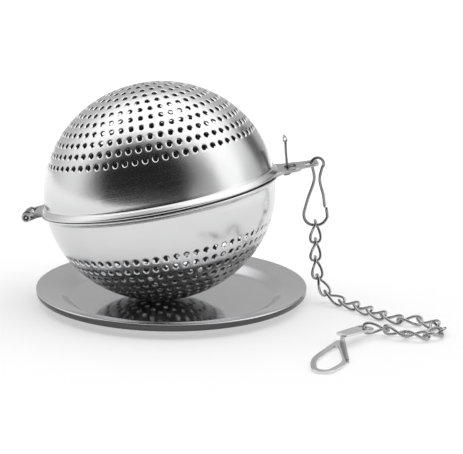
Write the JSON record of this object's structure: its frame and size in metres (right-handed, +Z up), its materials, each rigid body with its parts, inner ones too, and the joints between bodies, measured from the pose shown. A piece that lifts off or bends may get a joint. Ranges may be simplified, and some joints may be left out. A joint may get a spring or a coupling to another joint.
{
  "type": "tea infuser",
  "caption": "Mesh tea ball of two hinged perforated half shells with a spring latch, on a round drip saucer, with a snap clip, a twisted-link chain and a cup rim hook.",
  "frame": {"origin": "centre of the saucer's underside, on the surface that the infuser stands on", "axes": "+Z up; +X from the lid's hinge towards the handle; +Y away from the side that the chain lies on"},
  "size_m": [0.0886, 0.0768, 0.0479],
  "materials": {
    "shell_steel": "spun and polished stainless steel",
    "saucer_steel": "mirror polished stainless steel",
    "spring_steel": "satin spring steel",
    "wire_steel": "bright drawn wire",
    "chain_steel": "bright barrel-polished wire",
    "hook_steel": "stamped stainless sheet"
  },
  "bodies": {
    "saucer": {"saucer": "saucer_steel"},
    "lower_shell": {"lower_shell": "shell_steel"},
    "lid": {"upper_shell": "shell_steel"},
    "latch": {"latch_spring": "spring_steel"},
    "clip": {"snap_clip": "wire_steel"},
    "link_01": {"chain_link_01": "chain_steel"},
    "link_02": {"chain_link_02": "chain_steel"},
    "link_03": {"chain_link_03": "chain_steel"},
    "link_04": {"chain_link_04": "chain_steel"},
    "link_05": {"chain_link_05": "chain_steel"},
    "link_06": {"chain_link_06": "chain_steel"},
    "link_07": {"chain_link_07": "chain_steel"},
    "link_08": {"chain_link_08": "chain_steel"},
    "link_09": {"chain_link_09": "chain_steel"},
    "link_10": {"chain_link_10": "chain_steel"},
    "link_11": {"chain_link_11": "chain_steel"},
    "link_12": {"chain_link_12": "chain_steel"},
    "link_13": {"chain_link_13": "chain_steel"},
    "link_14": {"chain_link_14": "chain_steel"},
    "link_15": {"chain_link_15": "chain_steel"},
    "link_16": {"chain_link_16": "chain_steel"},
    "hook": {"rim_hook": "hook_steel"}
  },
  "joints": [
    {"name": "ball_lift", "type": "slide", "parent": "saucer", "child": "lower_shell", "axis": [0, 0, 1], "range_m": [0, 0.04]},
    {"name": "lid_hinge", "type": "hinge", "parent": "lower_shell", "child": "lid", "pos_m": [-0.03116, -0.002, 0.01877], "axis": [0, -1, 0], "range_deg": [0, 120]},
    {"name": "latch_flex", "type": "hinge", "parent": "lower_shell", "child": "latch", "pos_m": [0.02564, -0.002, 0.02832], "axis": [0, -1, 0], "range_deg": [0, 8], "stiffness_Nm_per_rad": 0.02},
    {"name": "clip_swing", "type": "hinge", "parent": "lid", "child": "clip", "pos_m": [0.03114, -0.002, 0.03094], "axis": [0, -1, 0], "range_deg": [0, 35]},
    {"name": "link_01_swing", "type": "hinge", "parent": "clip", "child": "link_01", "pos_m": [0.03134, -0.002, 0.01766], "axis": [1, 0, 0], "range_deg": [-20, 0]},
    {"name": "link_02_swing", "type": "hinge", "parent": "link_01", "child": "link_02", "pos_m": [0.0315, -0.00213, 0.01367], "axis": [-0.5882, -0.8087, 0], "range_deg": [0, 20]},
    {"name": "link_03_swing", "type": "hinge", "parent": "link_02", "child": "link_03", "pos_m": [0.03161, -0.00221, 0.00967], "axis": [1, 0, 0], "range_deg": [-20, 0]},
    {"name": "link_04_swing", "type": "hinge", "parent": "link_03", "child": "link_04", "pos_m": [0.03217, -0.00262, 0.00573], "axis": [-0.5312, -0.8472, 0], "range_deg": [0, 20]},
    {"name": "link_05_swing", "type": "hinge", "parent": "link_04", "child": "link_05", "pos_m": [0.03402, -0.00378, 0.00238], "axis": [-0.5592, -0.829, 0], "range_deg": [0, 15]},
    {"name": "link_06_swing", "type": "hinge", "parent": "link_05", "child": "link_06", "pos_m": [0.03712, -0.00587, 0.00096], "axis": [0, 0, -1], "range_deg": [-15, 15]},
    {"name": "link_07_swing", "type": "hinge", "parent": "link_06", "child": "link_07", "pos_m": [0.04, -0.00865, 0.00096], "axis": [0, 0, 1], "range_deg": [-15, 15]},
    {"name": "link_08_swing", "type": "hinge", "parent": "link_07", "child": "link_08", "pos_m": [0.04224, -0.01196, 0.00096], "axis": [0, 0, -1], "range_deg": [-15, 15]},
    {"name": "link_09_swing", "type": "hinge", "parent": "link_08", "child": "link_09", "pos_m": [0.0447, -0.01512, 0.00096], "axis": [0, 0, 1], "range_deg": [-15, 15]},
    {"name": "link_10_swing", "type": "hinge", "parent": "link_09", "child": "link_10", "pos_m": [0.04776, -0.01769, 0.00096], "axis": [0, 0, -1], "range_deg": [-10, 15]},
    {"name": "link_11_swing", "type": "hinge", "parent": "link_10", "child": "link_11", "pos_m": [0.05176, -0.01783, 0.00096], "axis": [0, 0, 1], "range_deg": [-4, 15]},
    {"name": "link_12_swing", "type": "hinge", "parent": "link_11", "child": "link_12", "pos_m": [0.05454, -0.0207, 0.00096], "axis": [0, 0, -1], "range_deg": [-15, 2]},
    {"name": "link_13_swing", "type": "hinge", "parent": "link_12", "child": "link_13", "pos_m": [0.0544, -0.0247, 0.00096], "axis": [0, 0, 1], "range_deg": [-2, 15]},
    {"name": "link_14_swing", "type": "hinge", "parent": "link_13", "child": "link_14", "pos_m": [0.05143, -0.02738, 0.00103], "axis": [0, 0, -1], "range_deg": [-15, 4]},
    {"name": "link_15_swing", "type": "hinge", "parent": "link_14", "child": "link_15", "pos_m": [0.04743, -0.02724, 0.00124], "axis": [0, 0, 1], "range_deg": [-15, 15]},
    {"name": "link_16_swing", "type": "hinge", "parent": "link_15", "child": "link_16", "pos_m": [0.04379, -0.02562, 0.00152], "axis": [0, 0, -1], "range_deg": [-15, 15]},
    {"name": "hook_swing", "type": "hinge", "parent": "link_16", "child": "hook", "pos_m": [0.0398, -0.02562, 0.0018], "axis": [0, 0, 1], "range_deg": [-15, 1]}
  ]
}
